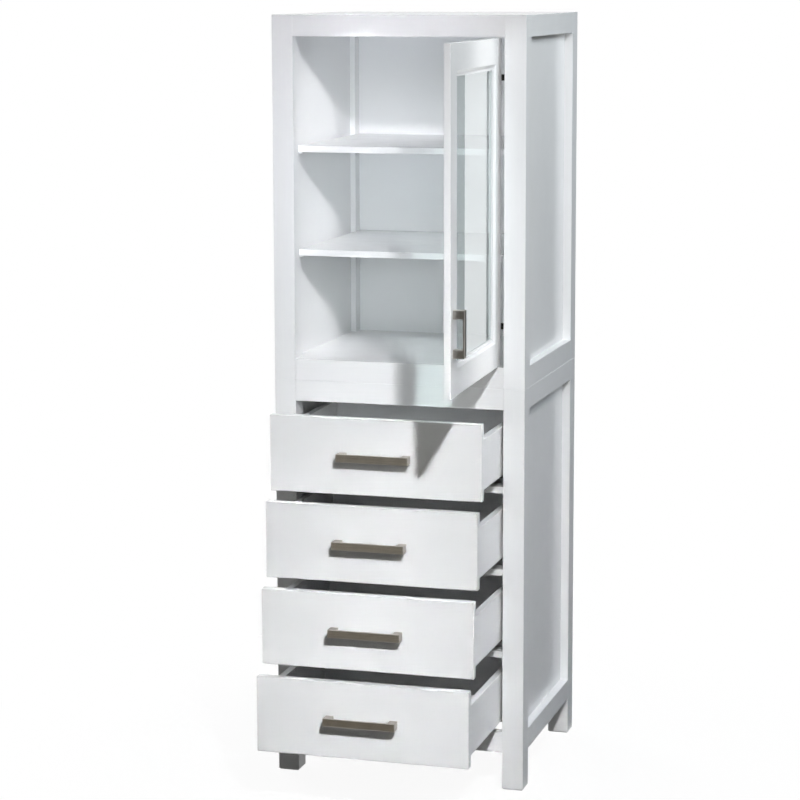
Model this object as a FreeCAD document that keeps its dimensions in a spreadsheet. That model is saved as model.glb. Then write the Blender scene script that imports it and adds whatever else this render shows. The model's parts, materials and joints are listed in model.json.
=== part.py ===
import FreeCAD, Part
import Sketcher
import os
from types import SimpleNamespace

# Linen cabinet: an open-legged lower unit with four inset drawers, and an upper unit
# with a glazed inset door that stands on it. Millimetres, +Z up, front towards -Y,
# origin on the floor in the middle of the four feet. Modelled as it stands with the
# door swung open and the drawers pulled out in steps.

doc = FreeCAD.newDocument("linen_cabinet")
sheet = doc.addObject("Spreadsheet::Sheet", "sizes")

driving = {
    # whole cabinet
    "width": 610,
    "depth": 530,
    "height": 1820,
    "seam_height": 962,
    # posts, rails and panels
    "post": 51,
    "rail": 50,
    "rail_thick": 24,
    "leg_clear": 90,
    "panel_inset": 20,
    "panel_thick": 18,
    "tongue": 8,
    "groove": 8,
    "back_thick": 6,
    "back_inset": 10,
    "deck_thick": 18,
    "ease": 0.8,
    "foot_ease": 3,
    "joint_fit": 0.2,
    "overrun": 2,
    "dowel_radius": 5,
    "dowel_length": 40,
    # shelves and their pins
    "shelf_thick": 15,
    "shelf_clear": 1.4,
    "shelf_end_gap": 0.5,
    "shelf_back_gap": 2,
    "upper_shelf_drop": 13,
    "peg_radius": 2.5,
    "peg_depth": 10,
    "peg_reach": 9,
    "peg_setback": 41,
    "collar_radius": 4,
    "collar_thick": 1.5,
    # door
    "door_gap": 2.5,
    "door_lift": 2,
    "door_thick": 15,
    "door_rest_angle": 92,
    "frame_width": 58,
    "bevel_width": 7,
    "bevel_depth": 4,
    "step_depth": 1.5,
    "bead_width": 6,
    "glass_seat": 8,
    "rebate": 10,
    "glass_thick": 3,
    "glass_slack": 1,
    # hinges
    "hinge_setback": 18,
    "hinge_depth": 8,
    "hinge_inset": 90,
    "hinge_pin_radius": 1.75,
    "running_fit": 0.05,
    "eye_radius": 3.5,
    "arm_thick": 3.2,
    "arm_height": 14,
    "arm_run": 20,
    "arm_foot": 6,
    "plate_thick": 3,
    "plate_length": 22,
    "plate_height": 50,
    "plate_clear": 5,
    "cup_wall": 1.2,
    "cup_clear": 0.5,
    "cup_short": 1,
    "cup_height": 18,
    "cup_wing": 14,
    # pulls
    "drawer_pull_length": 171,
    "door_pull_length": 104,
    "door_pull_rise": 138,
    "pull_height": 18.5,
    "pull_bar": 4,
    "pull_leg": 19,
    "pull_reach": 26,
    "pull_ease": 0.6,
    # drawers
    "divider": 16,
    "divider_depth": 45,
    "front_gap": 2,
    "front_lift": 1.5,
    "front_thick": 20,
    "front_ease": 1,
    "box_gap": 5,
    "box_wall": 15,
    "box_drop": 39,
    "box_length": 440,
    "bottom_thick": 6,
    "bottom_rise": 10,
    "bottom_groove": 6,
    # three-part slides under each drawer
    "slide_gauge": 1.5,
    "slide_side_gap": 2,
    "slide_width": 34,
    "slide_lift": 13,
    "slide_front_gap": 3,
    "slide_tail": 20,
    "trough_height": 16,
    "run_gap": 0.4,
    "mid_inset": 4,
    "mid_width": 26,
    "mid_height": 18,
    # how far each drawer stands out, from the top one down
    "pulled_first": 190,
    "pulled_second": 225,
    "pulled_third": 259,
    "pulled_fourth": 299,
}


# A size knows its number, for the first drawing, and its formula, for the binding.
class Size:
    def __init__(self, value, text):
        self.value = float(value)
        self.text = text

    def __add__(self, other):
        other = sized(other)
        return Size(self.value + other.value, f"({self.text} + {other.text})")

    def __sub__(self, other):
        other = sized(other)
        return Size(self.value - other.value, f"({self.text} - {other.text})")

    def __mul__(self, other):
        other = sized(other)
        return Size(self.value * other.value, f"({self.text} * {other.text})")

    def __truediv__(self, other):
        other = sized(other)
        return Size(self.value / other.value, f"({self.text} / {other.text})")

    def __neg__(self):
        return Size(-self.value, f"(-1 * {self.text})")

    __radd__ = __add__
    __rmul__ = __mul__

    def __rsub__(self, other):
        return sized(other) - self


def sized(number):
    if isinstance(number, Size):
        return number
    return Size(number, f"({number})")


def diagonal(one, other):
    squares = one * one + other * other
    return Size(squares.value ** 0.5, f"sqrt({squares.text})")


def fill_sheet():
    found = {}
    for row, (alias, number) in enumerate(driving.items(), 1):
        cell = f"A{row}"
        sheet.set(cell, str(number))
        sheet.setAlias(cell, alias)
        found[alias] = Size(number, f"sizes.{alias}")
    doc.recompute()
    return SimpleNamespace(**found)


s = fill_sheet()
upward = FreeCAD.Vector(0, 0, 1)
subparts = []

# Sizes that several pieces share.
front = -s.depth / 2
back = s.depth / 2
open_width = s.width - 2 * s.post
post_face = open_width / 2
panel_face = s.width / 2 - s.panel_inset - s.panel_thick
upper_height = s.height - s.seam_height
rail_span = s.depth - 2 * s.post
floor_top = s.seam_height + s.rail
door_bottom = floor_top + s.door_lift
door_top = s.height - s.rail - s.door_lift
door_width = open_width - 2 * s.door_gap
bays = 4
bay_bottom = s.leg_clear + s.rail
bay = (s.seam_height - s.rail - bay_bottom - (bays - 1) * s.divider) / bays
tongue_from = s.post - s.panel_inset - s.panel_thick / 2 - s.tongue / 2
tongue_reach = s.groove - s.joint_fit


def bind(item, path, size):
    item.setExpression(path, sized(size).text)


def place(item, at, turn=None):
    if turn is not None:
        item.Placement = FreeCAD.Placement(FreeCAD.Vector(), FreeCAD.Rotation(upward, turn.value))
        item.setExpression("Placement.Rotation.Angle", turn.text + " * 1deg")
    for axis, size in zip("xyz", at):
        bind(item, "Placement.Base." + axis, size)


def new_body(label):
    body = doc.addObject("PartDesign::Body", label)
    body.Label = label
    return body


def new_sketch(body, role, offset):
    sketch = body.newObject("Sketcher::SketchObject", body.Name + "_sketch")
    plane = [item for item in body.Origin.OriginFeatures if item.Role == role][0]
    sketch.AttachmentSupport = [(plane, "")]
    sketch.MapMode = "FlatFace"
    bind(sketch, "AttachmentOffset.Base.z", offset)
    return sketch


# One closed outline of straight runs, each corner held at its own size from the axes.
def draw_outline(sketch, corners):
    first = sketch.GeometryCount
    points = [FreeCAD.Vector(sized(x).value, sized(y).value, 0) for x, y in corners]
    for start, end in zip(points, points[1:] + points[:1]):
        sketch.addGeometry(Part.LineSegment(start, end))
    count = len(corners)
    for index, corner in enumerate(corners):
        line = first + index
        following = first + (index + 1) % count
        sketch.addConstraint(Sketcher.Constraint("Coincident", line, 2, following, 1))
        for kind, size in zip(("DistanceX", "DistanceY"), corner):
            size = sized(size)
            held = sketch.addConstraint(Sketcher.Constraint(kind, -1, 1, line, 1, size.value))
            sketch.setExpression(f"Constraints[{held}]", size.text)


def draw_circle(sketch, centre, radius):
    middle = FreeCAD.Vector(sized(centre[0]).value, sized(centre[1]).value, 0)
    ring = sketch.addGeometry(Part.Circle(middle, upward, radius.value))
    for kind, size in zip(("DistanceX", "DistanceY"), centre):
        size = sized(size)
        held = sketch.addConstraint(Sketcher.Constraint(kind, -1, 1, ring, 3, size.value))
        sketch.setExpression(f"Constraints[{held}]", size.text)
    held = sketch.addConstraint(Sketcher.Constraint("Radius", ring, radius.value))
    sketch.setExpression(f"Constraints[{held}]", radius.text)


def rectangle(low, high):
    return [(low[0], low[1]), (high[0], low[1]), (high[0], high[1]), (low[0], high[1])]


# Runs of section: "XY_Plane" goes up, "YZ_Plane" to the right, "XZ_Plane" to the back.
def pad(body, role, offset, outlines, length, circles=()):
    backwards = role == "XZ_Plane"
    sketch = new_sketch(body, role, -offset if backwards else offset)
    for corners in outlines:
        draw_outline(sketch, corners)
    for centre, radius in circles:
        draw_circle(sketch, centre, radius)
    made = body.newObject("PartDesign::Pad", body.Name + "_pad")
    made.Profile = sketch
    made.Reversed = backwards
    bind(made, "Length", length)
    body.Tip = made
    doc.recompute()
    return made


# A cut that starts at the offset and goes the same way as a pad would.
def pocket(body, role, offset, outlines, length, circles=()):
    backwards = role == "XZ_Plane"
    sketch = new_sketch(body, role, -offset if backwards else offset)
    for corners in outlines:
        draw_outline(sketch, corners)
    for centre, radius in circles:
        draw_circle(sketch, centre, radius)
    before = body.Tip.Shape.Volume
    made = body.newObject("PartDesign::Pocket", body.Name + "_pocket")
    made.Profile = sketch
    made.Reversed = not backwards
    bind(made, "Length", length)
    body.Tip = made
    doc.recompute()
    if not made.Shape.Volume < before:
        raise RuntimeError(f"a pocket in {body.Label} removed nothing")


# Eased edges: only those that run along the given axis, or all of them.
def ease_edges(body, size, axis=None):
    base = body.Tip
    made = body.newObject("PartDesign::Chamfer", body.Name + "_ease")
    names = []
    for index, edge in enumerate(base.Shape.Edges, 1):
        along = edge.tangentAt(edge.FirstParameter)
        if axis is not None and abs(along.dot(axis)) > 0.99:
            names.append(f"Edge{index}")
    made.Base = (base, names)
    made.UseAllEdges = axis is None
    bind(made, "Size", size)
    body.Tip = made
    doc.recompute()


def board(label, sizes, at, ease=None, along=None, turn=None, low=(0, 0, 0)):
    body = new_body(label)
    high = (low[0] + sizes[0], low[1] + sizes[1])
    pad(body, "XY_Plane", sized(low[2]), [rectangle(low, high)], sized(sizes[2]))
    if ease is not None:
        ease_edges(body, ease, along)
    place(body, at, turn)
    return body


def mirrored(label, source):
    made = doc.addObject("Part::Mirroring", label)
    made.Label = label
    made.Source = source
    made.Normal = (1, 0, 0)
    made.Base = (0, 0, 0)
    return made


def grouped(label, pieces):
    made = doc.addObject("Part::Compound", label)
    made.Label = label
    made.Links = pieces
    return made


def keep(item):
    subparts.append(item)
    return item


along_x = FreeCAD.Vector(1, 0, 0)
along_y = FreeCAD.Vector(0, 1, 0)
along_z = upward


# Posts and legs: square sections with eased corners, grooved for the side panel on
# the face that looks along the cabinet and, at the back, for the back panel.
def eased_square(inset):
    low = sized(inset)
    high = s.post - low
    return [
        (low + s.ease, low), (high - s.ease, low), (high, low + s.ease), (high, high - s.ease),
        (high - s.ease, high), (low + s.ease, high), (low, high - s.ease), (low, low + s.ease),
    ]


# An end that narrows on all four sides, from the full section to one that is inset.
def tapered_end(body, inset, full_level, end_level):
    sketches = []
    for narrowed, level in ((sized(0), full_level), (inset, end_level)):
        sketch = new_sketch(body, "XY_Plane", level)
        draw_outline(sketch, eased_square(narrowed))
        sketches.append(sketch)
    made = body.newObject("PartDesign::AdditiveLoft", body.Name + "_end")
    made.Profile = sketches[0]
    made.Sections = sketches[1:]
    made.Ruled = True
    body.Tip = made
    doc.recompute()


# A leg is tapered at the floor; where a leg and a post meet, both have eased ends.
def square_post(label, tall, bottom, panel_from, panel_long, at_back, on_floor):
    body = new_body(label)
    start = s.foot_ease if on_floor else s.ease
    stop = tall - s.ease if on_floor else tall
    pad(body, "XY_Plane", start, [eased_square(0)], stop - start)
    tapered_end(body, start, start, sized(0))
    if on_floor:
        tapered_end(body, s.ease, stop, tall)
    groove_from = -s.overrun if at_back else s.post - s.groove
    groove_to = s.groove if at_back else s.post + s.overrun
    panel_slot = rectangle((tongue_from, groove_from), (tongue_from + s.tongue, groove_to))
    pocket(body, "XY_Plane", panel_from, [panel_slot], panel_long)
    if at_back:
        slot_back = s.post - s.back_inset
        back_slot = rectangle((-s.overrun, slot_back - s.back_thick), (s.groove, slot_back))
        pocket(body, "XY_Plane", panel_from, [back_slot], panel_long)
    place(body, (post_face, back - s.post if at_back else front, bottom))
    return body


def dowel_hole(body, bottom):
    circle = [((s.post / 2, s.post / 2), s.dowel_radius + s.running_fit)]
    pocket(body, "XY_Plane", bottom, [], s.dowel_length / 2 + s.overrun, circle)


# Two shelves part the upper unit in three; the upper one sits a little below its third.
def shelf_heights():
    clear = (s.height - s.rail - floor_top - 2 * s.shelf_thick) / 3
    lower = floor_top + clear
    return [lower, lower + s.shelf_thick + clear - s.upper_shelf_drop]


def make_posts():
    slot = upper_height - 2 * s.rail + 2 * s.groove
    leg_slot = s.seam_height - 2 * s.rail - s.leg_clear + 2 * s.groove
    leg_from = s.leg_clear + s.rail - s.groove
    groups = {"upper_posts_rear": [], "legs_rear": []}
    for at_back in (False, True):
        end = "rear" if at_back else "front"
        names = (f"upper_post_{end}_right", f"leg_{end}_right")
        upper = square_post(names[0], upper_height, s.seam_height, s.rail - s.groove, slot, at_back, False)
        dowel_hole(upper, -s.overrun)
        peg_at = s.post - s.peg_setback if at_back else s.peg_setback
        holes = []
        for level in shelf_heights():
            middle = (peg_at, level - s.peg_radius - s.seam_height)
            holes.append((middle, s.peg_radius + s.running_fit))
        pocket(body=upper, role="YZ_Plane", offset=-s.overrun, outlines=[],
               length=s.peg_depth + s.overrun, circles=holes)
        leg = square_post(names[1], s.seam_height, sized(0), leg_from, leg_slot, at_back, True)
        dowel_hole(leg, s.seam_height - s.dowel_length / 2)
        pair = [(upper, "upper_posts_rear"), (leg, "legs_rear")]
        for piece, group in pair:
            twin = mirrored(piece.Label.replace("right", "left"), piece)
            if at_back:
                groups[group] += [piece, twin]
            else:
                keep(piece)
                keep(twin)
    for label, pieces in groups.items():
        keep(grouped(label, pieces))


def make_dowels():
    pegs = []
    for side in (-1, 1):
        for y in (front + s.post / 2, back - s.post / 2):
            peg = doc.addObject("Part::Cylinder", "dowel")
            bind(peg, "Radius", s.dowel_radius)
            bind(peg, "Height", s.dowel_length)
            x = side * (post_face + s.post / 2)
            place(peg, (x, y, s.seam_height - s.dowel_length / 2))
            pegs.append(peg)
    keep(grouped("unit_dowels", pegs))


# Rails. The four front ones are plain boards; side and rear rails are grooved.
def make_front_rails():
    levels = {
        "upper_top_rail": s.height - s.rail,
        "upper_bottom_rail": s.seam_height,
        "lower_top_rail": s.seam_height - s.rail,
        "lower_bottom_rail": s.leg_clear,
    }
    for label, z in levels.items():
        sizes = (open_width, s.rail_thick, s.rail)
        keep(board(label, sizes, (-post_face, front, z), s.ease, along_x))


def grooved_section(thick, slot_from, slot_wide, slot_on_top):
    top = [
        (thick, s.rail - s.ease), (thick - s.ease, s.rail),
        (slot_from + slot_wide, s.rail), (slot_from + slot_wide, s.rail - s.groove),
        (slot_from, s.rail - s.groove), (slot_from, s.rail), (0, s.rail),
    ]
    section = [(0, 0), (thick - s.ease, 0), (thick, s.ease)] + top
    if slot_on_top:
        return section
    return [(across, s.rail - up) for across, up in reversed(section)]


def rail_levels():
    return {
        "upper": [(s.height - s.rail, False), (s.seam_height, True)],
        "lower": [(s.seam_height - s.rail, False), (s.leg_clear, True)],
    }


def make_side_rails():
    thick = s.panel_inset + s.panel_thick
    slot_from = s.panel_thick / 2 - s.tongue / 2
    pieces = []
    for levels in rail_levels().values():
        for z, slot_on_top in levels:
            body = new_body("side_rail")
            section = grooved_section(thick, slot_from, s.tongue, slot_on_top)
            pad(body, "XZ_Plane", sized(0), [section], rail_span)
            place(body, (panel_face, front + s.post, z))
            pieces += [body, mirrored("side_rail_left", body)]
    keep(grouped("side_rails", pieces))


def make_rear_rails():
    slot_from = s.rail_thick - s.back_inset - s.back_thick
    pieces = []
    for levels in rail_levels().values():
        for z, slot_on_top in levels:
            body = new_body("rear_rail")
            section = grooved_section(s.rail_thick, slot_from, s.back_thick, slot_on_top)
            pad(body, "YZ_Plane", sized(0), [section], open_width)
            place(body, (-post_face, back - s.rail_thick, z))
            pieces.append(body)
    keep(grouped("rear_rails", pieces))


# Side panels have a tongue all round that sits in the posts' and rails' grooves.
def make_side_panels():
    levels = {
        "upper": (s.seam_height + s.rail, s.height - s.rail),
        "lower": (bay_bottom, s.seam_height - s.rail),
    }
    for unit, (low, high) in levels.items():
        label = f"{unit}_side_panel_right"
        core = board("panel_core", (s.panel_thick, rail_span, high - low),
                     (panel_face, front + s.post, low))
        tongue_x = panel_face + s.panel_thick / 2 - s.tongue / 2 + s.joint_fit
        wide = rail_span + 2 * tongue_reach
        tall = high - low + 2 * tongue_reach
        tongue = board("panel_tongue", (s.tongue - 2 * s.joint_fit, wide, tall),
                       (tongue_x, front + s.post - tongue_reach, low - tongue_reach))
        panel = doc.addObject("Part::Fuse", label)
        panel.Label = label
        panel.Base = core
        panel.Tool = tongue
        keep(panel)
        keep(mirrored(f"{unit}_side_panel_left", panel))


def make_back_panels():
    levels = {
        "upper": (s.seam_height + s.rail, s.height - s.rail),
        "lower": (bay_bottom, s.seam_height - s.rail),
    }
    for unit, (low, high) in levels.items():
        reach = tongue_reach
        thick = s.back_thick - 2 * s.joint_fit
        sizes = (open_width + 2 * reach, thick, high - low + 2 * reach)
        y = back - s.back_inset - s.back_thick + s.joint_fit
        keep(board(f"{unit}_back_panel", sizes, (-post_face - reach, y, low - reach)))


# Top and floor lie inside the rails, notched round the four posts.
def make_decks():
    wide = 2 * panel_face
    deep = s.depth - 2 * s.rail_thick
    notch_x = panel_face - post_face
    notch_y = s.post - s.rail_thick
    corners = [
        (notch_x, 0), (wide - notch_x, 0), (wide - notch_x, notch_y), (wide, notch_y),
        (wide, deep - notch_y), (wide - notch_x, deep - notch_y), (wide - notch_x, deep),
        (notch_x, deep), (notch_x, deep - notch_y), (0, deep - notch_y), (0, notch_y),
        (notch_x, notch_y),
    ]
    for label, top in (("top_panel", s.height), ("floor_panel", floor_top)):
        body = new_body(label)
        pad(body, "XY_Plane", sized(0), [corners], s.deck_thick)
        place(body, (-panel_face, front + s.rail_thick, top - s.deck_thick))
        keep(body)


def make_dividers():
    pieces = []
    for index in range(1, bays):
        z = bay_bottom + index * bay + (index - 1) * s.divider
        sizes = (open_width, s.divider_depth, s.divider)
        pieces.append(board("divider", sizes, (-post_face, front, z), s.ease, along_x))
    keep(grouped("drawer_dividers", pieces))


# The shelves stop short of the path of the open door's inner corner.
def make_shelves():
    near = axis_y + diagonal(s.hinge_setback, inner_face) + s.shelf_clear
    deep = back - s.back_inset - s.back_thick - s.shelf_back_gap - near
    wide = open_width - 2 * (s.collar_thick + s.shelf_end_gap)
    pieces = []
    for z in shelf_heights():
        at = (-wide / 2, near, z)
        pieces.append(board("shelf", (wide, deep, s.shelf_thick), at, s.ease, along_x))
    keep(grouped("shelves", pieces))


# Shelf pegs: turned pins with a collar that stops against the post.
def shelf_peg(y, z):
    body = new_body("shelf_peg")
    sketch = new_sketch(body, "XZ_Plane", sized(0))
    collar_to = s.peg_depth - s.overrun + s.collar_thick
    whole = s.peg_depth - s.overrun + s.peg_reach
    draw_outline(sketch, [
        (0, 0), (0, s.peg_radius), (s.peg_depth - s.overrun, s.peg_radius),
        (s.peg_depth - s.overrun, s.collar_radius), (collar_to, s.collar_radius),
        (collar_to, s.peg_radius), (whole, s.peg_radius), (whole, 0),
    ])
    turned = body.newObject("PartDesign::Revolution", "peg_turned")
    turned.Profile = sketch
    turned.ReferenceAxis = (sketch, ["H_Axis"])
    turned.Angle = 360
    body.Tip = turned
    body.Placement = FreeCAD.Placement(FreeCAD.Vector(), FreeCAD.Rotation(upward, 180))
    place(body, (post_face + s.peg_depth - s.overrun, y, z))
    doc.recompute()
    return body


def make_shelf_pegs():
    pieces = []
    for level in shelf_heights():
        for y in (front + s.peg_setback, back - s.peg_setback):
            peg = shelf_peg(y, level - s.peg_radius)
            pieces += [peg, mirrored("shelf_peg_left", peg)]
    keep(grouped("shelf_pins", pieces))


# Door. Its pieces are drawn closed, from the hinge axis, and turned open about it.
axis_x = post_face - s.door_gap - s.hinge_setback
axis_y = front + s.hinge_depth
hinge_edge = s.hinge_setback
free_edge = s.hinge_setback - door_width
outer_face = -s.hinge_depth
inner_face = outer_face + s.door_thick
lip = s.frame_width + s.bevel_width + s.bead_width
rebate_edge = lip - s.rebate
hinge_levels = (door_bottom + s.hinge_inset, door_top - s.hinge_inset)
cup_back = -s.eye_radius - s.cup_clear - s.cup_wall


def hang(item):
    place(item, (axis_x, axis_y, 0), s.door_rest_angle)
    return item


# Moulded section of the door's frame: across it from the outer edge, and in from the face.
def frame_section():
    return [
        (0, s.ease), (s.ease, 0), (s.frame_width, 0),
        (s.frame_width + s.bevel_width, s.bevel_depth),
        (s.frame_width + s.bevel_width, s.bevel_depth + s.step_depth),
        (lip, s.bevel_depth + s.step_depth), (lip, s.glass_seat),
        (rebate_edge, s.glass_seat), (rebate_edge, s.door_thick),
        (s.ease, s.door_thick), (0, s.door_thick - s.ease),
    ]


def make_stiles():
    tall = door_top - door_bottom
    free = new_body("door_free_stile")
    corners = [(free_edge + across, outer_face + deep) for across, deep in frame_section()]
    pad(free, "XY_Plane", door_bottom, [corners], tall)
    hinge = new_body("door_hinge_stile")
    corners = [(hinge_edge - across, outer_face + deep) for across, deep in frame_section()]
    pad(hinge, "XY_Plane", door_bottom, [corners], tall)
    low = (cup_back, cup_back)
    high = (hinge_edge + s.overrun, inner_face + s.overrun)
    tall = s.cup_height + 2 * s.joint_fit
    for level in hinge_levels:
        pocket(hinge, "XY_Plane", level - tall / 2, [rectangle(low, high)], tall)
    return [keep(hang(free)), keep(hang(hinge))]


# Rails are cut to the stiles' moulding at both ends.
def make_door_rails(stiles):
    both = grouped("stile_pair", stiles)
    flips = {"door_top_rail": (door_top, -1), "door_bottom_rail": (door_bottom, 1)}
    for label, (edge, way) in flips.items():
        blank = new_body(label + "_blank")
        corners = [(outer_face + deep, edge + way * across) for across, deep in frame_section()]
        pad(blank, "YZ_Plane", free_edge + s.frame_width, [corners], door_width - 2 * s.frame_width)
        hang(blank)
        rail = doc.addObject("Part::Cut", label)
        rail.Label = label
        rail.Base = blank
        rail.Tool = both
        keep(rail)


def make_glass():
    seat = rebate_edge + s.glass_slack
    low = (free_edge + seat, outer_face + s.glass_seat, door_bottom + seat)
    sizes = (door_width - 2 * seat, s.glass_thick, door_top - door_bottom - 2 * seat)
    glass = board("door_glass", sizes, (0, 0, 0), low=low)
    keep(hang(glass))
    bead_in = outer_face + s.glass_seat + s.glass_thick
    thick = s.door_thick - s.glass_seat - s.glass_thick
    tall = door_top - door_bottom - 2 * rebate_edge
    wide = door_width - 2 * rebate_edge - 2 * s.rebate
    beads = []
    for x in (free_edge + rebate_edge, hinge_edge - rebate_edge - s.rebate):
        low = (x, bead_in, door_bottom + rebate_edge)
        beads.append(board("bead", (s.rebate, thick, tall), (0, 0, 0), s.ease, along_z, low=low))
    for z in (door_bottom + rebate_edge, door_top - rebate_edge - s.rebate):
        low = (free_edge + rebate_edge + s.rebate, bead_in, z)
        beads.append(board("bead", (wide, thick, s.rebate), (0, 0, 0), s.ease, along_x, low=low))
    for bead in beads:
        hang(bead)
    keep(grouped("glass_beads", beads))


# Pulls: a flat bar on two square legs, one U-shaped section.
def pull_section(start, long, face):
    end = start + long
    far = face - s.pull_reach
    inner = far + s.pull_bar
    return [
        (start, far), (end, far), (end, face), (end - s.pull_leg, face),
        (end - s.pull_leg, inner), (start + s.pull_leg, inner), (start + s.pull_leg, face),
        (start, face),
    ]


def make_door_pull():
    body = new_body("door_pull")
    low = door_bottom + s.door_pull_rise - s.door_pull_length / 2
    section = [(out, up) for up, out in pull_section(low, s.door_pull_length, outer_face)]
    middle = free_edge + s.frame_width / 2
    pad(body, "YZ_Plane", middle - s.pull_height / 2, [section], s.pull_height)
    ease_edges(body, s.pull_ease)
    keep(hang(body))


# Hinges: a plate on the post, a cranked arm whose eye turns on a pin, and an open
# cup let into the stile that holds the pin between its two cheeks.
def hinge_plate(level):
    body_at = (post_face - s.plate_thick, axis_y + inner_face + s.plate_clear)
    sizes = (s.plate_thick, s.plate_length, s.plate_height)
    return board("hinge_plate", sizes, (*body_at, level - s.plate_height / 2), s.ease, along_x)


def hinge_arm(level):
    body = new_body("hinge_arm")
    half = s.arm_thick / 2
    seat = s.hinge_setback + s.door_gap - s.plate_thick
    plate_from = inner_face + s.plate_clear
    foot_to = plate_from + s.plate_length - s.ease * 2
    corners = [
        (-half, 0), (half, 0), (half, s.arm_run), (seat - s.arm_foot, s.arm_run + s.arm_foot),
        (seat, s.arm_run + s.arm_foot), (seat, foot_to), (seat - s.arm_foot, foot_to),
        (-half, s.arm_run + s.arm_thick),
    ]
    bottom = level - s.arm_height / 2
    pad(body, "XY_Plane", bottom, [corners], s.arm_height)
    pad(body, "XY_Plane", bottom, [], s.arm_height, [((0, 0), s.eye_radius)])
    bore = [((0, 0), s.hinge_pin_radius + s.running_fit)]
    pocket(body, "XY_Plane", bottom - s.overrun, [], s.arm_height + 2 * s.overrun, bore)
    place(body, (axis_x, axis_y, 0))
    return body


def hinge_cup(level):
    body = new_body("hinge_cup")
    low = (cup_back, cup_back)
    high = (hinge_edge - s.cup_short, inner_face)
    bottom = level - s.cup_height / 2
    pad(body, "XY_Plane", bottom, [rectangle(low, high)], s.cup_height)
    inside_low = (low[0] + s.cup_wall, low[1] + s.cup_wall)
    inside_high = (high[0] + s.overrun, high[1] + s.overrun)
    inside = rectangle(inside_low, inside_high)
    pocket(body, "XY_Plane", bottom + s.cup_wall, [inside], s.cup_height - 2 * s.cup_wall)
    wings = []
    for way in (-1, 1):
        near = level + way * (s.cup_height / 2 - s.cup_wall)
        far = level + way * (s.cup_height / 2 + s.cup_wing)
        ends = (near, far) if way > 0 else (far, near)
        wings.append(rectangle((low[0], ends[0]), (high[0], ends[1])))
    pad(body, "XZ_Plane", inner_face, wings, s.cup_wall)
    bore = [((0, 0), s.hinge_pin_radius + s.running_fit)]
    pocket(body, "XY_Plane", bottom - s.overrun, [], s.cup_height + 2 * s.overrun, bore)
    return hang(body)


def hinge_pin(level):
    pin = doc.addObject("Part::Cylinder", "hinge_pin")
    bind(pin, "Radius", s.hinge_pin_radius)
    bind(pin, "Height", s.cup_height)
    place(pin, (axis_x, axis_y, level - s.cup_height / 2))
    return pin


def make_hinges():
    makers = {
        "hinge_plates": hinge_plate,
        "hinge_arms": hinge_arm,
        "hinge_cups": hinge_cup,
        "hinge_pins": hinge_pin,
    }
    for label, maker in makers.items():
        keep(grouped(label, [maker(level) for level in hinge_levels]))


# Drawers, numbered from the top. Each is drawn closed from its bay's front bottom
# edge, and stands out by its own distance.
runner_bottom = s.slide_lift + s.trough_height + s.run_gap
mid_bottom = s.slide_lift + s.slide_gauge + s.run_gap
cap_top = mid_bottom + s.mid_height + s.run_gap + s.slide_gauge
box_bottom = cap_top - s.bottom_rise - s.joint_fit
box_top = bay - s.front_lift - s.box_drop
box_half = post_face - s.box_gap
box_front = s.front_thick
inner_half = box_half - s.box_wall
slide_near = s.box_gap + s.box_wall + s.slide_side_gap
slide_from = box_front + s.box_wall + s.slide_front_gap
slide_long = box_front + s.box_length - slide_from


def bay_floor(number):
    return bay_bottom + (bays - number) * (bay + s.divider)


def drawer_front(number):
    wide = open_width - 2 * s.front_gap
    low = (-wide / 2, sized(0), s.front_lift)
    sizes = (wide, s.front_thick, bay - 2 * s.front_lift)
    return board(f"drawer_{number}_front", sizes, (0, 0, 0), s.front_ease, low=low)


# Box: two grooved sides, a grooved sub-front and a back that stands on the bottom.
def drawer_box():
    groove_low = box_bottom + s.bottom_rise
    groove_high = groove_low + s.bottom_thick
    pieces = []
    for side in (-1, 1):
        body = new_body("box_side")
        slot = inner_half + s.bottom_groove
        section = [
            (side * inner_half, box_bottom), (side * box_half, box_bottom),
            (side * box_half, box_top), (side * inner_half, box_top),
            (side * inner_half, groove_high), (side * slot, groove_high),
            (side * slot, groove_low), (side * inner_half, groove_low),
        ]
        pad(body, "XZ_Plane", box_front, [section], s.box_length)
        pieces.append(body)
    body = new_body("box_front")
    inner = box_front + s.box_wall
    section = [
        (box_front, box_bottom), (inner, box_bottom), (inner, groove_low),
        (inner - s.bottom_groove, groove_low), (inner - s.bottom_groove, groove_high),
        (inner, groove_high), (inner, box_top), (box_front, box_top),
    ]
    pad(body, "YZ_Plane", -inner_half, [section], 2 * inner_half)
    pieces.append(body)
    low = (-inner_half, box_front + s.box_length - s.box_wall, groove_high)
    sizes = (2 * inner_half, s.box_wall, box_top - groove_high)
    pieces.append(board("box_back", sizes, (0, 0, 0), low=low))
    return pieces


def drawer_bottom(number):
    reach = s.bottom_groove - s.joint_fit
    near = box_front + s.box_wall - reach
    low = (-inner_half - reach, near, box_bottom + s.bottom_rise + s.joint_fit)
    thick = s.bottom_thick - s.joint_fit
    sizes = (2 * (inner_half + reach), box_front + s.box_length - near, thick)
    return board(f"drawer_{number}_bottom", sizes, (0, 0, 0), low=low)


def drawer_pull(number):
    body = new_body(f"drawer_{number}_pull")
    section = pull_section(-s.drawer_pull_length / 2, s.drawer_pull_length, sized(0))
    pad(body, "XY_Plane", bay / 2 - s.pull_height / 2, [section], s.pull_height)
    ease_edges(body, s.pull_ease)
    return body


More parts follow.
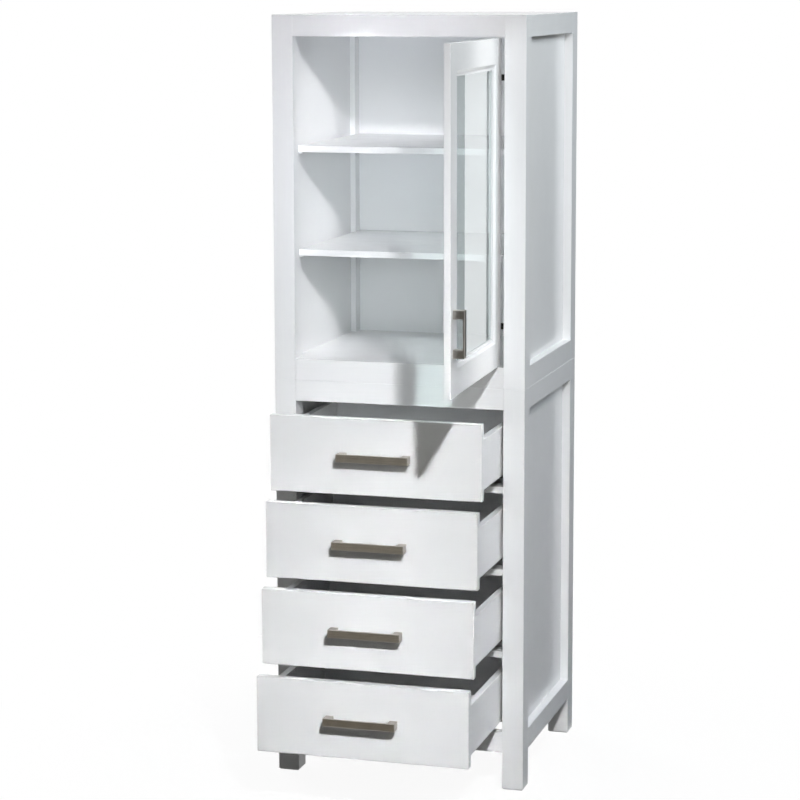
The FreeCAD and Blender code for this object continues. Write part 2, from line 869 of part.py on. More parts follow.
# Slides, hidden between the box's sides: a flanged trough on the posts, a tube that runs
# in it, and a cap that runs on the tube and carries the box by its bottom. Widths are
# measured in from the post's face.
def runners():
    pieces = []
    low = slide_near + s.mid_inset - s.run_gap - s.slide_gauge
    high = slide_near + s.mid_inset + s.mid_width + s.run_gap + s.slide_gauge
    for side in (-1, 1):
        body = new_body("runner")
        outline = [
            (low, runner_bottom), (low, cap_top), (high, cap_top), (high, runner_bottom),
            (high - s.slide_gauge, runner_bottom), (high - s.slide_gauge, cap_top - s.slide_gauge),
            (low + s.slide_gauge, cap_top - s.slide_gauge), (low + s.slide_gauge, runner_bottom),
        ]
        section = [(side * (post_face - inward), up) for inward, up in outline]
        pad(body, "XZ_Plane", slide_from, [section], slide_long)
        pieces.append(body)
    return pieces


def middle_members():
    pieces = []
    top = mid_bottom + s.mid_height
    near = slide_near + s.mid_inset
    far = near + s.mid_width
    wall = s.slide_gauge
    for side in (-1, 1):
        body = new_body("middle_member")
        outer = [(near, mid_bottom), (far, mid_bottom), (far, top), (near, top)]
        hollow = [
            (near + wall, mid_bottom + wall), (far - wall, mid_bottom + wall),
            (far - wall, top - wall), (near + wall, top - wall),
        ]
        loops = [[(side * (post_face - inward), up) for inward, up in loop] for loop in (outer, hollow)]
        pad(body, "XZ_Plane", slide_from, loops, slide_long)
        pieces.append(body)
    return pieces


def troughs():
    pieces = []
    low = s.slide_lift
    top = s.slide_lift + s.trough_height
    near = slide_near
    far = slide_near + s.slide_width
    wall = s.slide_gauge
    for side in (-1, 1):
        body = new_body("trough")
        outline = [
            (0, low), (far, low), (far, top), (far - wall, top), (far - wall, low + wall),
            (near + wall, low + wall), (near + wall, top), (near, top), (near, low + wall),
            (wall, low + wall), (wall, top), (0, top),
        ]
        section = [(side * (post_face - inward), up) for inward, up in outline]
        long = s.depth - slide_from - s.slide_tail
        pad(body, "XZ_Plane", slide_from, [section], long)
        pieces.append(body)
    return pieces


def make_drawers():
    pulled = (s.pulled_first, s.pulled_second, s.pulled_third, s.pulled_fourth)
    fixed = []
    for number, out in enumerate(pulled, 1):
        z = bay_floor(number)
        moving = (0, front - out, z)
        for piece in (drawer_front(number), drawer_bottom(number), drawer_pull(number)):
            place(piece, moving)
            keep(piece)
        groups = {
            f"drawer_{number}_box": (drawer_box(), moving),
            f"drawer_{number}_runners": (runners(), moving),
            f"drawer_{number}_middle_slides": (middle_members(), (0, front - out / 2, z)),
        }
        for label, (pieces, at) in groups.items():
            for piece in pieces:
                place(piece, at)
            keep(grouped(label, pieces))
        for piece in troughs():
            place(piece, (0, front, z))
            fixed.append(piece)
    keep(grouped("cabinet_slides", fixed))


make_posts()
make_dowels()
make_front_rails()
make_side_rails()
make_rear_rails()
make_side_panels()
make_back_panels()
make_decks()
make_dividers()
make_shelves()
make_shelf_pegs()
make_door_rails(make_stiles())
make_glass()
make_door_pull()
make_hinges()
make_drawers()
doc.recompute()

for item in doc.Objects:
    if "Invalid" in item.State or "Error" in item.State:
        raise RuntimeError(f"{item.Label} failed: {item.State}")
for item in subparts:
    if item.Shape.isNull() or not item.Shape.isValid() or not item.Shape.Solids:
        raise RuntimeError(f"{item.Label} has no valid solid")

os.makedirs("parts", exist_ok=True)
for item in subparts:
    item.Shape.exportStep(f"parts/{item.Label}.step")
print(f"{len(subparts)} nodes, {sum(len(item.Shape.Solids) for item in subparts)} solids")
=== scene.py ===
import json
import math
import bpy
import numpy as np
from mathutils import Matrix, Vector


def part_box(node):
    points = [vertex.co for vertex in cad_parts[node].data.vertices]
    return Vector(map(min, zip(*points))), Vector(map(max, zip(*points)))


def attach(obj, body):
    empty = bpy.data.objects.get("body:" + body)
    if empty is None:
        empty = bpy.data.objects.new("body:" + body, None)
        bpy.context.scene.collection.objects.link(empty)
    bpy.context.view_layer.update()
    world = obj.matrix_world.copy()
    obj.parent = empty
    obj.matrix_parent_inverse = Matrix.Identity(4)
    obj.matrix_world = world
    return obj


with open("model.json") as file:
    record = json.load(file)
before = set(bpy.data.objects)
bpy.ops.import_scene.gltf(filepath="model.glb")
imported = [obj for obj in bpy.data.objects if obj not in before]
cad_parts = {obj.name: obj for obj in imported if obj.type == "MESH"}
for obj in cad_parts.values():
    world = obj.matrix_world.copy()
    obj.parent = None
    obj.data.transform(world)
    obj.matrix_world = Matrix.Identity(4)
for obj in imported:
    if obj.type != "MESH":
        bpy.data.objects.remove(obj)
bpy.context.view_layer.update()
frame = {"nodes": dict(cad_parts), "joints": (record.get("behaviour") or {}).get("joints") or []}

scene = bpy.context.scene
nodes = frame["nodes"]
joints = {joint["name"]: joint for joint in frame["joints"]}


def addNode(tree, kind, **sockets):
    node = tree.nodes.new(kind)
    for name, value in sockets.items():
        node.inputs[name].default_value = value
    return node


# A plain number is set on the socket, and anything else is linked to it.
def feed(tree, socket, source):
    if isinstance(source, (int, float)):
        socket.default_value = source
    else:
        tree.links.new(source, socket)


def mathNode(tree, operation, first, second):
    node = tree.nodes.new("ShaderNodeMath")
    node.operation = operation
    feed(tree, node.inputs[0], first)
    feed(tree, node.inputs[1], second)
    return node.outputs[0]


def rangeNode(tree, value, fromSpan, toSpan, smooth=False):
    node = tree.nodes.new("ShaderNodeMapRange")
    if smooth:
        node.interpolation_type = "SMOOTHSTEP"
    labels = ("Value", "From Min", "From Max", "To Min", "To Max")
    for label, source in zip(labels, (value, *fromSpan, *toSpan)):
        feed(tree, node.inputs[label], source)
    return node.outputs["Result"]


noiseSpan = (0.3, 0.7)   # noise hardly leaves it


def spread(tree, value, low, high):
    return rangeNode(tree, value, noiseSpan, (low, high))


def noiseNode(tree, vector, scale, detail, rough=0.5):
    node = addNode(tree, "ShaderNodeTexNoise", Scale=scale, Detail=detail, Roughness=rough)
    tree.links.new(vector, node.inputs["Vector"])
    return node.outputs["Fac"]


def stretched(tree, vector, stretch):
    node = tree.nodes.new("ShaderNodeVectorMath")
    node.operation = "MULTIPLY"
    tree.links.new(vector, node.inputs[0])
    tree.links.new(stretch, node.inputs[1])
    return node.outputs["Vector"]


def toned(tree, tint, factor):
    node = tree.nodes.new("ShaderNodeVectorMath")
    node.operation = "SCALE"
    tree.links.new(tint, node.inputs[0])
    tree.links.new(factor, node.inputs["Scale"])
    return node.outputs["Vector"]


def mixShader(tree, share, first, second):
    node = tree.nodes.new("ShaderNodeMixShader")
    for socket, source in zip(node.inputs, (share, first, second)):
        tree.links.new(source, socket)
    return node.outputs["Shader"]


# 1 for a ray of any of the given kinds and 0 for the rest.
def rayMask(tree, *kinds):
    path = tree.nodes.new("ShaderNodeLightPath")
    mask = path.outputs[kinds[0]]
    for kind in kinds[1:]:
        mask = mathNode(tree, "MAXIMUM", mask, path.outputs[kind])
    return mask


groupOutputs = {"Color": "Color", "Roughness": "Float", "Height": "Float"}


def newGroup(name, inputs):
    tree = bpy.data.node_groups.new(name, "ShaderNodeTree")
    for side, sockets in (("INPUT", inputs), ("OUTPUT", groupOutputs)):
        for label, kind in sockets.items():
            tree.interface.new_socket(label, in_out=side, socket_type="NodeSocket" + kind)
    given = tree.nodes.new("NodeGroupInput").outputs
    return tree, given, tree.nodes.new("NodeGroupOutput").inputs


# Each noise has its scale, its detail and, where it isn't plain, its roughness.
paintNoise = {
    "cloud": (5.0, 3.0), "cloudShade": (0.976, 1.0),
    "grain": (210.0, 4.0, 0.6), "grainShade": (-0.014, 0.004),
    "smear": (23.0, 4.0, 0.6),
    "ripple": (520.0, 2.0), "rippleShare": 0.5,
}


# Sprayed paint over wood: a little cloudiness, the grain just showing through, smears of
# gloss, and the fine ripple of the spray.
def makePaintFilm():
    look = paintNoise
    tree, given, out = newGroup("sprayedPaint", {
        "Vector": "Vector", "Tint": "Color", "Grain Stretch": "Vector", "Grain Depth": "Float",
        "Smoothest": "Float", "Roughest": "Float"})
    place, grainDepth = given["Vector"], given["Grain Depth"]
    cloud = noiseNode(tree, place, *look["cloud"])
    ripple = noiseNode(tree, place, *look["ripple"])
    grain = noiseNode(tree, stretched(tree, place, given["Grain Stretch"]), *look["grain"])
    grainShade = mathNode(tree, "MULTIPLY", spread(tree, grain, *look["grainShade"]), grainDepth)
    shade = mathNode(tree, "ADD", spread(tree, cloud, *look["cloudShade"]), grainShade)
    tree.links.new(toned(tree, given["Tint"], shade), out["Color"])
    smear = noiseNode(tree, place, *look["smear"])
    tree.links.new(spread(tree, smear, given["Smoothest"], given["Roughest"]), out["Roughness"])
    grainHeight = mathNode(tree, "MULTIPLY", grain, grainDepth)
    rippleHeight = mathNode(tree, "MULTIPLY", ripple, look["rippleShare"])
    tree.links.new(mathNode(tree, "ADD", grainHeight, rippleHeight), out["Height"])
    return tree


brushNoise = {
    "fine": (2600.0, 3.0, 0.7), "fineShare": 0.6,
    "coarse": (700.0, 2.0), "coarseShare": 0.4,
    "lineShade": (-1.0, 0.6),
    "blotch": (38.0, 3.0), "blotchShade": (-0.05, 0.05),
}


# Drawn metal: long fine scratches along one way, and slow blotches of polish.
def makeBrushedLines():
    look = brushNoise
    tree, given, out = newGroup("brushedLines", {
        "Vector": "Vector", "Tint": "Color", "Line Stretch": "Vector", "Contrast": "Float",
        "Smoothest": "Float", "Roughest": "Float"})
    along = stretched(tree, given["Vector"], given["Line Stretch"])
    fine = noiseNode(tree, along, *look["fine"])
    coarse = noiseNode(tree, along, *look["coarse"])
    blotch = noiseNode(tree, given["Vector"], *look["blotch"])
    lines = mathNode(tree, "ADD", mathNode(tree, "MULTIPLY", fine, look["fineShare"]),
                     mathNode(tree, "MULTIPLY", coarse, look["coarseShare"]))
    lineShade = mathNode(tree, "MULTIPLY", spread(tree, lines, *look["lineShade"]),
                         given["Contrast"])
    marks = mathNode(tree, "ADD", lineShade, spread(tree, blotch, *look["blotchShade"]))
    shade = mathNode(tree, "ADD", marks, 1.0)
    tree.links.new(toned(tree, given["Tint"], shade), out["Color"])
    tree.links.new(spread(tree, lines, given["Roughest"], given["Smoothest"]), out["Roughness"])
    tree.links.new(lines, out["Height"])
    return tree


paintFilm = makePaintFilm()
brushedLines = makeBrushedLines()
print("node groups: paint film, brushed lines")


def newMaterial(name):
    material = bpy.data.materials.new(name)
    material.use_nodes = True
    tree = material.node_tree
    shader = tree.nodes["Principled BSDF"]
    place = tree.nodes.new("ShaderNodeTexCoord")
    return material, tree, shader, place.outputs["Object"]


# bump is the strength and the depth of the relief
def fromGroup(name, group, bump, settings, shaderValues):
    material, tree, shader, place = newMaterial(name)
    effect = tree.nodes.new("ShaderNodeGroup")
    effect.node_tree = group
    tree.links.new(place, effect.inputs["Vector"])
    for label, value in settings.items():
        effect.inputs[label].default_value = value
    tree.links.new(effect.outputs["Color"], shader.inputs["Base Color"])
    tree.links.new(effect.outputs["Roughness"], shader.inputs["Roughness"])
    relief = addNode(tree, "ShaderNodeBump", Strength=bump[0], Distance=bump[1])
    tree.links.new(effect.outputs["Height"], relief.inputs["Height"])
    tree.links.new(relief.outputs["Normal"], shader.inputs["Normal"])
    for label, value in shaderValues.items():
        shader.inputs[label].default_value = value
    return material


paint = {
    "tint": (0.888, 0.892, 0.895, 1.0),
    "bump": (0.03, 0.0004),
    "smoothest": 0.19, "roughest": 0.22,
    "grainShare": 0.05,        # how fast the grain changes along the board, to across it
    "grainDepth": 0.8,
    "specular": 0.5,
}


# way is the axis that the grain runs along, or None for smooth board
def paintedBoard(name, way):
    return fromGroup(name, paintFilm, paint["bump"], {
        "Tint": paint["tint"],
        "Grain Stretch": [paint["grainShare"] if axis == way else 1.0 for axis in "xyz"],
        "Grain Depth": paint["grainDepth"] if way else 0.0,
        "Smoothest": paint["smoothest"], "Roughest": paint["roughest"],
    }, {"Specular IOR Level": paint["specular"]})


whiteAlong = {way: paintedBoard("whitePaintAlong" + way.upper(), way) for way in "xyz"}
whiteBoard = paintedBoard("whitePaintBoard", None)

# Small numbers in a stretch are the ways that the scratches run.
pullLook = {"tint": (0.70, 0.665, 0.62, 1.0), "bump": (0.25, 0.00012), "contrast": 0.30,
            "smoothest": 0.26, "roughest": 0.44}
metals = {
    "brushedNickelAcross": dict(pullLook, stretch=(0.012, 1.0, 1.0)),
    "brushedNickelUpright": dict(pullLook, stretch=(1.0, 1.0, 0.012)),
    "platedNickel": {"tint": (0.58, 0.57, 0.54, 1.0), "bump": (0.08, 0.0001), "contrast": 0.12,
                     "smoothest": 0.14, "roughest": 0.26, "stretch": (0.25, 0.25, 0.25)},
    # Painted shade: the hinge's tint is made near black for the shade it sits in, in the gap by
    # the post, and for the dark surroundings it mirrors.
    "hingeMetalPaintedShade": {"tint": (0.17, 0.165, 0.155, 1.0), "bump": (0.08, 0.0001),
                        "contrast": 0.14, "smoothest": 0.20, "roughest": 0.34,
                        "stretch": (0.25, 0.25, 0.25)},
    # The slides' steel is near black.
    "nearBlackSteel": {"tint": (0.055, 0.055, 0.06, 1.0), "bump": (0.12, 0.0001),
                       "contrast": 0.2, "smoothest": 0.30, "roughest": 0.46,
                       "stretch": (1.0, 0.03, 1.0)},
}


def brushedMetal(name):
    look = metals[name]
    return fromGroup(name, brushedLines, look["bump"], {
        "Tint": look["tint"], "Line Stretch": look["stretch"], "Contrast": look["contrast"],
        "Smoothest": look["smoothest"], "Roughest": look["roughest"],
    }, {"Metallic": 1.0})


pullAcross = brushedMetal("brushedNickelAcross")
pullUpright = brushedMetal("brushedNickelUpright")
plateNickel = brushedMetal("platedNickel")
hingeShadedNickel = brushedMetal("hingeMetalPaintedShade")
slideSteel = brushedMetal("nearBlackSteel")
beech = fromGroup("plainBeech", paintFilm, (0.3, 0.0005), {
    "Tint": (0.62, 0.44, 0.27, 1.0), "Grain Stretch": (1.0, 1.0, 0.06), "Grain Depth": 9.0,
    "Smoothest": 0.5, "Roughest": 0.65}, {})

pane = {
    "tint": (0.91, 0.975, 0.975, 1.0), "bending": 1.5,
    "passing": (0.86, 0.93, 0.92, 1.0),   # what is left of light that goes straight through
    "haze": (14.0, 3.0), "hazeRoughness": (0.0, 0.02),
}


# Clear pane: lamp light and bounced light pass straight through it, so it throws a pale
# shadow; what is seen in it or through it is true glass.
def paneGlass():
    material, tree, shader, place = newMaterial("clearPane")
    shader.inputs["Base Color"].default_value = pane["tint"]
    shader.inputs["Transmission Weight"].default_value = 1.0
    shader.inputs["IOR"].default_value = pane["bending"]
    haze = noiseNode(tree, place, *pane["haze"])
    tree.links.new(spread(tree, haze, *pane["hazeRoughness"]), shader.inputs["Roughness"])
    clear = addNode(tree, "ShaderNodeBsdfTransparent", Color=pane["passing"])
    straight = rayMask(tree, "Is Shadow Ray", "Is Diffuse Ray")
    whole = mixShader(tree, straight, shader.outputs["BSDF"], clear.outputs["BSDF"])
    tree.links.new(whole, tree.nodes["Material Output"].inputs["Surface"])
    return material


clearPane = paneGlass()

# A node that isn't named here is smooth white board.
finishNodes = (
    (whiteAlong["x"], ("upper_top_rail", "upper_bottom_rail", "lower_top_rail",
                       "lower_bottom_rail", "rear_rails", "drawer_dividers", "shelves")),
    (whiteAlong["y"], ("side_rails", "door_top_rail", "door_bottom_rail")),
    (whiteAlong["z"], ("upper_post_front_left", "upper_post_front_right", "upper_posts_rear",
                       "leg_front_left", "leg_front_right", "legs_rear",
                       "door_hinge_stile", "door_free_stile", "glass_beads")),
    (clearPane, ("door_glass",)),
    (pullUpright, ("door_pull",)),
    (hingeShadedNickel, ("hinge_plates", "hinge_arms", "hinge_cups")),
    (plateNickel, ("hinge_pins",)),
    (slideSteel, ("cabinet_slides",)),
    (beech, ("unit_dowels",)),
)
drawerFinish = {"box": whiteAlong["y"], "pull": pullAcross, "runners": slideSteel,
                "middle_slides": slideSteel}
drawerNumbers = (1, 2, 3, 4)
nodeFinish = {name: finish for finish, names in finishNodes for name in names}
for number in drawerNumbers:
    for part, finish in drawerFinish.items():
        nodeFinish["drawer_%d_%s" % (number, part)] = finish
for name, node in nodes.items():
    for slot in node.material_slots:
        slot.material = nodeFinish.get(name, whiteBoard)
print("finishes: %d nodes" % len(nodes))


# Lengths are shares of the head's radius, and depths are shares of its height.
screwHead = {"rings": 16, "around": 32, "crown": 0.35,
             "slotWide": 0.17, "slotLong": 0.62, "slotDeep": 0.5}


# Faces of a form turned about its middle: quads from ring to ring, a fan of triangles at
# the crown and another under the seat. The two middle points come after all the rings.
def turnedFaces(rings, around):
    ring, step = np.meshgrid(np.arange(rings - 1) * around, np.arange(around), indexing="ij")
    after = (step + 1) % around
    below = ring + around
    quads = np.stack([ring + step, below + step, below + after, ring + after], axis=-1)
    spoke = np.arange(around)
    beside = (spoke + 1) % around
    last = (rings - 1) * around
    crown = np.stack([np.full(around, rings * around), spoke, beside], axis=-1)
    under = np.stack([np.full(around, rings * around + 1), last + beside, last + spoke], axis=-1)
    return quads.reshape(-1, 4), np.concatenate([crown, under])


# Pan head: height falls from the middle by the square of the radius, down a short side to
# the seat; within the two crossed slots the surface is sunk.
def panHead(radius, height):
    look = screwHead
    out = np.append(np.linspace(1.0 / look["rings"], 1.0, look["rings"]), 1.0)
    turn = np.linspace(0.0, 2.0 * math.pi, look["around"], endpoint=False)
    share, angle = np.meshgrid(out, turn, indexing="ij")
    across, up = share * np.cos(angle), share * np.sin(angle)
    rise = 1.0 - look["crown"] * share ** 2
    crossed = np.minimum(np.abs(across), np.abs(up)) < look["slotWide"]
    rise = np.where(crossed & (share < look["slotLong"]), rise - look["slotDeep"], rise)
    rise[-1] = 0.0
    grid = np.stack([across * radius, up * radius, rise * height], axis=-1).reshape(-1, 3)
    middles = np.array([[0.0, 0.0, (1.0 - look["slotDeep"]) * height], [0.0, 0.0, 0.0]])
    return np.concatenate([grid, middles]), turnedFaces(len(out), look["around"])


# Turns the local up of a small piece to a given way and moves it to its seat.
def seated(points, seat, way):
    turn = Vector((0.0, 0.0, 1.0)).rotation_difference(Vector(way)).to_matrix()
    return points @ np.array(turn).T + np.array(seat)


# One piece of all the screws of a kind: the head's points at each seat, and its faces
# counted on from seat to seat.
def screws(name, seats, way, head, body):
    points, kinds = panHead(*head)
    every = np.concatenate([seated(points, seat, way) for seat in seats])
    shift = (np.arange(len(seats)) * len(points))[:, None, None]
    faces = [face for kind in kinds
             for face in (kind + shift).reshape(-1, kind.shape[1]).tolist()]
    mesh = bpy.data.meshes.new(name)
    mesh.from_pydata(every.tolist(), [], faces)
    mesh.materials.append(plateNickel)
    piece = bpy.data.objects.new(name, mesh)
    scene.collection.objects.link(piece)
    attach(piece, body)


hardware = {
    "hingeHead": (0.0034, 0.0016), "pullHead": (0.0046, 0.0024),   # radius and height
    "plateTall": 0.050, "plateInset": 0.008,
    "wingTall": 0.046, "wingInset": 0.007, "wingThick": 0.0012,
    "wingPast": 0.0062,        # the wing's edge past the hinge axis
    "hingeSetback": 0.018, "hingeDepth": 0.008,   # the axis, from the door's edge and face
    "doorThick": 0.015, "stileWide": 0.058, "doorPullSpan": 0.085,
    "drawerPullInset": 0.0095, "subFrontThick": 0.015,
}
doorPivot = Vector(joints["door_hinge"]["pos_m"])
doorRest = math.radians(-joints["door_hinge"]["range_deg"][0])
doorTurn = Matrix.Rotation(doorRest, 3, "Z")
doorInward = doorTurn @ Vector((0.0, 1.0, 0.0))
doorInside = hardware["doorThick"] - hardware["hingeDepth"]   # from the axis to the inner face


# A point given on the closed door, from its hinge axis, where the open door has it.
def onDoor(across, deep, height):
    turned = doorTurn @ Vector((across, deep, 0.0))
    return (doorPivot.x + turned.x, doorPivot.y + turned.y, height)


# Heights of two screws on each of two pieces, one piece at the low end, one at the high.
def pairHeights(low, high, tall, inset):
    return (low + inset, low + tall - inset, high - tall + inset, high - inset)


def makeHingeScrews():
    look = hardware
    low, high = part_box("hinge_plates")
    plateHeights = pairHeights(low[2], high[2], look["plateTall"], look["plateInset"])
    plateSeats = [(low[0], (low[1] + high[1]) / 2, z) for z in plateHeights]
    screws("hinge_plate_screws", plateSeats, (-1, 0, 0), look["hingeHead"], "cabinet")
    low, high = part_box("hinge_cups")
    wingHeights = pairHeights(low[2], high[2], look["wingTall"], look["wingInset"])
    wingMiddle = (look["hingeSetback"] - look["wingPast"]) / 2
    wingSeats = [onDoor(wingMiddle, doorInside + look["wingThick"], z) for z in wingHeights]
    screws("hinge_cup_screws", wingSeats, doorInward, look["hingeHead"], "door")


def makePullScrews():
    look = hardware
    low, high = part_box("door_pull")
    middle = (low[2] + high[2]) / 2
    doorWide = 2 * (doorPivot.x + look["hingeSetback"])   # closed, it is centred on the cabinet
    across = look["hingeSetback"] - doorWide + look["stileWide"] / 2
    seats = [onDoor(across, doorInside, middle + way * look["doorPullSpan"] / 2)
             for way in (-1, 1)]
    screws("door_pull_screws", seats, doorInward, look["pullHead"], "door")
    for number in drawerNumbers:
        low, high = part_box("drawer_%d_pull" % number)
        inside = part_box("drawer_%d_front" % number)[1][1] + look["subFrontThick"]
        middle = (low[2] + high[2]) / 2
        seats = [(x, inside, middle) for x in (low[0] + look["drawerPullInset"],
                                               high[0] - look["drawerPullInset"])]
        screws("drawer_%d_pull_screws" % number, seats, (0, 1, 0), look["pullHead"],
               "drawer_%d" % number)


makeHingeScrews()
makePullScrews()
print("hardware: hinge and pull screws")


studio = {
    "white": 1.0,            # the background as it is seen, also in metal and through glass
    "ambient": 0.06,         # what lights the object from all round
    "floorSize": 30.0, "floorPale": 0.9, "floorBounce": 0.1, "floorRoughness": 0.9,
    "shadowShare": 0.06,     # how much of the floor's own light and shade shows
    "shadowSpan": (0.3, 1.2),
}
seenRays = ("Is Camera Ray", "Is Glossy Ray", "Is Transmission Ray")


def grey(level):
    return (level, level, level, 1.0)


def makeWorld():
    world = bpy.data.worlds.new("paleStudio")
    world.use_nodes = True
    tree = world.node_tree
    background = tree.nodes["Background"]
    background.inputs["Color"].default_value = grey(1.0)
    lit = mathNode(tree, "MULTIPLY", rayMask(tree, *seenRays),
                   studio["white"] - studio["ambient"])
    tree.links.new(mathNode(tree, "ADD", lit, studio["ambient"]), background.inputs["Strength"])
    scene.world = world


def flatPiece(name, corners, material):
    mesh = bpy.data.meshes.new(name)
    mesh.from_pydata(corners, [], [(0, 1, 2, 3)])
    mesh.materials.append(material)
    piece = bpy.data.objects.new(name, mesh)
    scene.collection.objects.link(piece)
    return piece


# Seen, the floor is white with a little of its own light and shade near the object, and
# pure white further off, so that no horizon shows.
def makeFloor():
    material, tree, shader, place = newMaterial("paleFloor")
    shader.inputs["Base Color"].default_value = grey(studio["floorBounce"])
    shader.inputs["Roughness"].default_value = studio["floorRoughness"]
    shader.inputs["Specular IOR Level"].default_value = 0.0
    pale = addNode(tree, "ShaderNodeBsdfDiffuse", Color=grey(studio["floorPale"]))
    white = addNode(tree, "ShaderNodeEmission", Color=grey(1.0), Strength=studio["white"])
    away = tree.nodes.new("ShaderNodeVectorMath")
    away.operation = "LENGTH"
    tree.links.new(place, away.inputs[0])
    fade = rangeNode(tree, away.outputs["Value"], studio["shadowSpan"],
                     (1.0 - studio["shadowShare"], 1.0), smooth=True)
    seen = mixShader(tree, fade, pale.outputs["BSDF"], white.outputs["Emission"])
    whole = mixShader(tree, rayMask(tree, *seenRays), shader.outputs["BSDF"], seen)
    tree.links.new(whole, tree.nodes["Material Output"].inputs["Surface"])
    half = studio["floorSize"] / 2
    floor = flatPiece("floor", [(-half, -half, 0), (half, -half, 0), (half, half, 0),
                                (-half, half, 0)], material)


# Cards that mirrored rays alone meet, each from its front bottom edge to its back top edge:
# two dark ones on the right, which the side shows, a bright one on the post, which the pane
# mirrors, and three for the pulls' bars, brown in front and on the floor and dark higher up.
cards = {
    "rightCard": {"low": (0.31, 0.9, 0.0), "high": (3.2, 0.9, 2.8),
                  "shade": (0.03, 0.035, 0.035)},
    "besideCard": {"low": (0.31, -0.3, 0.004), "high": (3.2, 0.9, 0.004),
                   "shade": (0.03, 0.035, 0.035)},
    "postCard": {"low": (0.254, -0.2665, 0.97), "high": (0.305, -0.2665, 1.8),
                 "shade": (1.4, 1.4, 1.4)},
    "frontCard": {"low": (-2.4, -1.9, 0.0), "high": (1.6, -1.9, 0.78),
                  "shade": (0.235, 0.22, 0.185)},
    "frontHigh": {"low": (-2.4, -1.9, 0.78), "high": (1.6, -1.9, 1.9),
                  "shade": (0.04, 0.042, 0.038)},
    "footCard": {"low": (-2.4, -1.9, 0.004), "high": (1.6, -0.7, 0.004),
                 "shade": (0.14, 0.125, 0.10)},
}


def makeCard(name, look):
    material, _, shader, _ = newMaterial(name)
    shader.inputs["Base Color"].default_value = grey(0.0)
    shader.inputs["Specular IOR Level"].default_value = 0.0
    shader.inputs["Emission Color"].default_value = look["shade"] + (1.0,)
    shader.inputs["Emission Strength"].default_value = 1.0
    (left, near, low), (right, far, high) = look["low"], look["high"]
    card = flatPiece(name, [(left, near, low), (right, near, low), (right, far, high),
                            (left, far, high)], material)
    card.visible_camera = False
    card.visible_diffuse = False
    card.visible_transmission = False
    card.visible_shadow = False


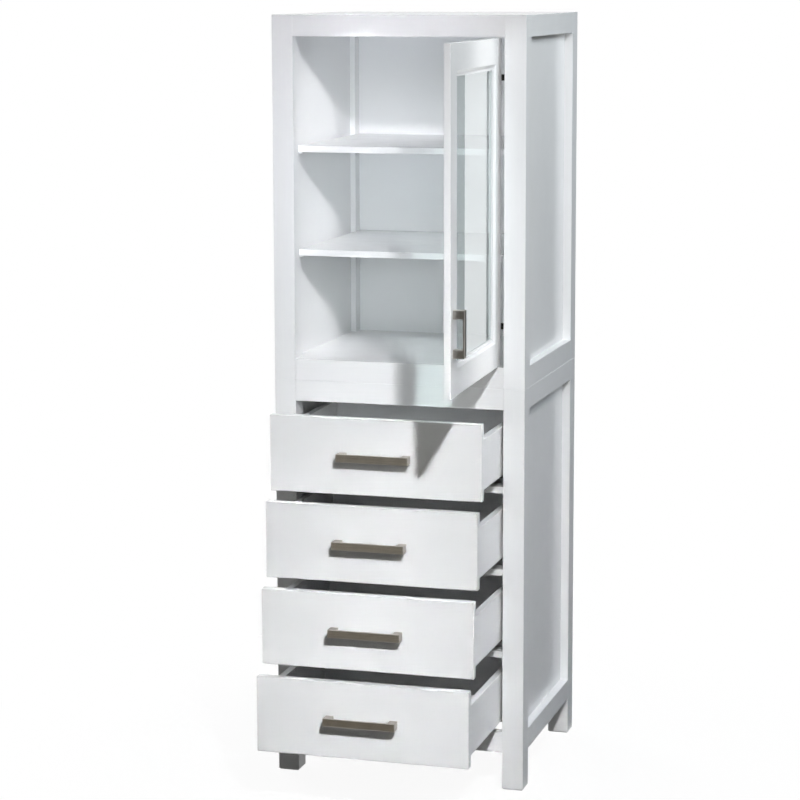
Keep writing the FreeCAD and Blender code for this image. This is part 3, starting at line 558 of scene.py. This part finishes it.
# The key and four narrower lamps in its place, four for the shelf space, a beam for each bay
# of the left inner wall, and fills; the last two are for the back, the left side and the
# inside of the open door. An even lamp loses none of its light with distance: its watts are
# those of a plain lamp as they reach the aim.
keyPlace = (1.65, -3.45, 3.25)
lamps = {
    "keyLamp": {"place": keyPlace, "aim": (0.0, -0.2, 1.0),
                "across": 0.20, "power": 63.0, "spread": 180.0,
                "even": True, "color": (0.99, 0.985, 1.02)},
    "keyLower": {"place": keyPlace, "aim": (-0.1, -0.45, 0.4),
                 "across": 0.20, "power": 3.05, "spread": 30.0,
                 "even": True, "color": (0.98, 1.0, 1.01)},
    "keyDrawers": {"place": keyPlace, "aim": (0.02, -0.46, 0.8),
                   "across": 0.20, "power": 0.26, "spread": 13.0,
                   "even": True, "color": (0.99, 0.985, 1.02)},
    "keyFoot": {"place": keyPlace, "aim": (0.06, -0.55, 0.12),
                "across": 0.20, "power": 0.45, "spread": 13.0,
                "even": True, "color": (0.99, 0.985, 1.02)},
    "keyTop": {"place": keyPlace, "aim": (-0.02, -0.265, 1.82),
               "across": 0.20, "power": 0.16, "spread": 12.0,
               "even": True, "color": (1.0, 1.0, 1.0)},
    "insideLeft": {"place": (0.75, -1.9, 1.7), "aim": (-0.25, 0.0, 1.4),
                   "across": 0.60, "power": 0.45, "spread": 40.0,
                   "even": True, "color": (0.98, 0.97, 1.06)},
    "insideFront": {"place": (0.2, -2.2, 1.5), "aim": (-0.1, 0.0, 1.4),
                    "across": 0.60, "power": 0.34, "spread": 36.0,
                    "even": True, "color": (0.93, 1.04, 1.04)},
    "insideHigh": {"place": (0.1, -1.2, 2.0), "aim": (-0.05, 0.0, 1.35),
                   "across": 0.50, "power": 0.6, "spread": 60.0,
                   "even": True, "color": (0.99, 0.98, 1.02)},
    "insideLow": {"place": (0.2, -1.5, 0.98), "aim": (-0.08, 0.05, 1.72),
                  "across": 0.40, "power": 0.38, "spread": 50.0,
                  "even": True, "color": (0.93, 0.97, 1.1)},
    "wallBeamHigh": {"place": (0.011, -0.552, 1.8010), "aim": (-0.17, -0.236, 1.6360),
                     "across": 0.158, "tall": 0.215, "power": 0.058, "spread": 4.0,
                     "even": False, "color": (1.0, 1.0, 1.0)},
    "wallBeamMid": {"place": (0.011, -0.552, 1.5465), "aim": (-0.17, -0.236, 1.3815),
                    "across": 0.158, "tall": 0.196, "power": 0.032, "spread": 4.0,
                    "even": False, "color": (1.0, 1.0, 1.0)},
    "wallBeamLow": {"place": (0.011, -0.552, 1.2935), "aim": (-0.17, -0.236, 1.1285),
                    "across": 0.158, "tall": 0.208, "power": 0.043, "spread": 4.0,
                    "even": False, "color": (1.0, 1.0, 1.0)},
    "nearRight": {"place": (1.4, -1.6, 1.5), "aim": (0.2, -0.4, 1.2),
                  "across": 0.70, "power": 2.15, "spread": 130.0,
                  "even": False, "color": (1.03, 1.03, 0.94)},
    "sideHigh": {"place": (1.5, -0.2, 2.5), "aim": (0.3, -0.1, 1.5),
                 "across": 0.60, "power": 3.4, "spread": 120.0,
                 "even": False, "color": (0.99, 1.02, 0.99)},
    "rightHigh": {"place": (3.2, 0.6, 3.4), "aim": (0.3, 0.0, 1.3),
                  "across": 1.60, "power": 47.0, "spread": 180.0,
                  "even": False, "color": (0.89, 1.0, 1.11)},
    "leftFill": {"place": (-1.6, -2.4, 1.5), "aim": (0.1, -0.3, 1.2),
                 "across": 0.80, "power": 1.4, "spread": 180.0,
                 "even": False, "color": (1.06, 1.06, 0.86)},
    "rearLeft": {"place": (-2.6, 2.3, 2.1), "aim": (-0.15, 0.1, 1.0),
                 "across": 1.60, "power": 95.0, "spread": 180.0,
                 "even": False, "color": (0.98, 1.0, 1.02)},
    "leftSide": {"place": (-2.2, -0.26, 1.9), "aim": (0.25, -0.5, 1.25),
                 "across": 0.50, "power": 1.5, "spread": 50.0,
                 "even": False, "color": (1.0, 1.0, 1.0)},
}


# Only the key shows in reflections.
def makeLamp(name, look):
    lamp = bpy.data.lights.new(name, "AREA")
    lamp.shape = "RECTANGLE" if "tall" in look else "DISK"
    lamp.size = look["across"]
    lamp.size_y = look.get("tall", look["across"])
    lamp.energy = look["power"]
    lamp.color = look["color"]
    lamp.spread = math.radians(look["spread"])
    away = Vector(look["place"]) - Vector(look["aim"])
    if look["even"]:
        lamp.use_nodes = True
        tree = lamp.node_tree
        falloff = addNode(tree, "ShaderNodeLightFalloff", Strength=1.0 / away.length_squared)
        tree.links.new(falloff.outputs["Constant"], tree.nodes["Emission"].inputs["Strength"])
    holder = bpy.data.objects.new(name, lamp)
    holder.location = look["place"]
    holder.rotation_euler = away.to_track_quat("Z", "Y").to_euler()
    holder.visible_camera = False
    holder.visible_transmission = False
    holder.visible_glossy = name == "keyLamp"
    scene.collection.objects.link(holder)


view = {"place": (1.6535, -5.8104, 1.9030), "yaw": -16.558, "pitch": -8.678, "roll": -0.153,
        "lens": 112.58, "sensor": 36.0, "rise": -0.05}


# Right, up and back of the camera from its heading, its tilt and its roll.
def makeCamera():
    yaw, pitch, roll = (math.radians(view[name]) for name in ("yaw", "pitch", "roll"))
    level = Vector((math.sin(yaw), math.cos(yaw), 0.0))
    ahead = level * math.cos(pitch) + Vector((0.0, 0.0, math.sin(pitch)))
    right = Vector((math.cos(yaw), -math.sin(yaw), 0.0))
    up = right.cross(ahead)
    turned = right * math.cos(roll) + up * math.sin(roll)
    raised = up * math.cos(roll) - right * math.sin(roll)
    lens = bpy.data.cameras.new("photoCamera")
    lens.lens = view["lens"]
    lens.sensor_width = view["sensor"]
    lens.shift_y = view["rise"]
    camera = bpy.data.objects.new("photoCamera", lens)
    turn = Matrix((turned, raised, -ahead)).transposed().to_4x4()
    camera.matrix_world = Matrix.Translation(view["place"]) @ turn
    scene.collection.objects.link(camera)
    scene.camera = camera


makeWorld()
makeFloor()
for name, look in cards.items():
    makeCard(name, look)
for name, look in lamps.items():
    makeLamp(name, look)
makeCamera()
scene.view_settings.view_transform = "Standard"
print("studio: light, floor and camera")
